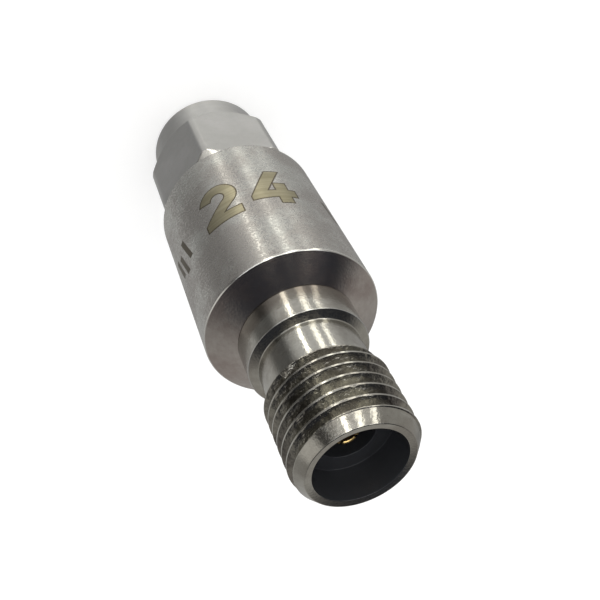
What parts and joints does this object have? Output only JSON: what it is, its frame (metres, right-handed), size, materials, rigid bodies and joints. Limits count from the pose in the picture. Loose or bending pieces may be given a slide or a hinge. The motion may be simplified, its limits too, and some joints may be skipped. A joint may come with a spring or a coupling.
{
  "type": "rf attenuator",
  "caption": "Fixed coaxial attenuator: round steel sleeve with a shallow conical shoulder, a threaded jack at one end and a plug with a free-spinning hexagon coupling nut at the other.",
  "frame": {"origin": "centre of the coupling nut's end face, which the part stands on", "axes": "+Z along the axis from the nut's end face to the jack's mouth; -Y faces the side that the picture shows"},
  "size_m": [0.0096, 0.0096, 0.0296],
  "materials": {
    "steel": "fine-turned, passivated, satin",
    "gold": "gold plated",
    "brass": "machined",
    "spring_copper": "spring copper alloy",
    "bead_plastic": "machined plastic",
    "ceramic": "fired ceramic plate",
    "resistive_film": "dark resistive film"
  },
  "bodies": {
    "housing": {"body_sleeve": "steel", "jack_shell": "steel", "plug_shell": "steel", "nut_retaining_ring": "spring_copper", "jack_contact": "gold", "jack_contact_stem": "gold", "jack_bead": "bead_plastic", "jack_bead_ring": "brass", "plug_pin": "gold", "plug_pin_stem": "gold", "plug_bead": "bead_plastic", "plug_bead_ring": "brass", "attenuator_chip": "ceramic", "resistor_film": "resistive_film", "chip_input_pad": "gold", "chip_output_pad": "gold", "chip_ground_pad_left": "gold", "chip_ground_pad_right": "gold", "jack_contact_tab": "spring_copper", "plug_contact_tab": "spring_copper", "ground_spring_left": "spring_copper", "ground_spring_right": "spring_copper", "carrier_cover": "brass", "carrier_base": "brass", "carrier_dowel_lower": "steel", "carrier_dowel_upper": "steel", "preload_washer": "spring_copper"},
    "nut": {"coupling_nut": "steel"}
  },
  "joints": [
    {"name": "nut_spin", "type": "hinge", "parent": "housing", "child": "nut", "pos_m": [0, 0, 0], "axis": [0, 0, 1], "continuous": true}
  ]
}
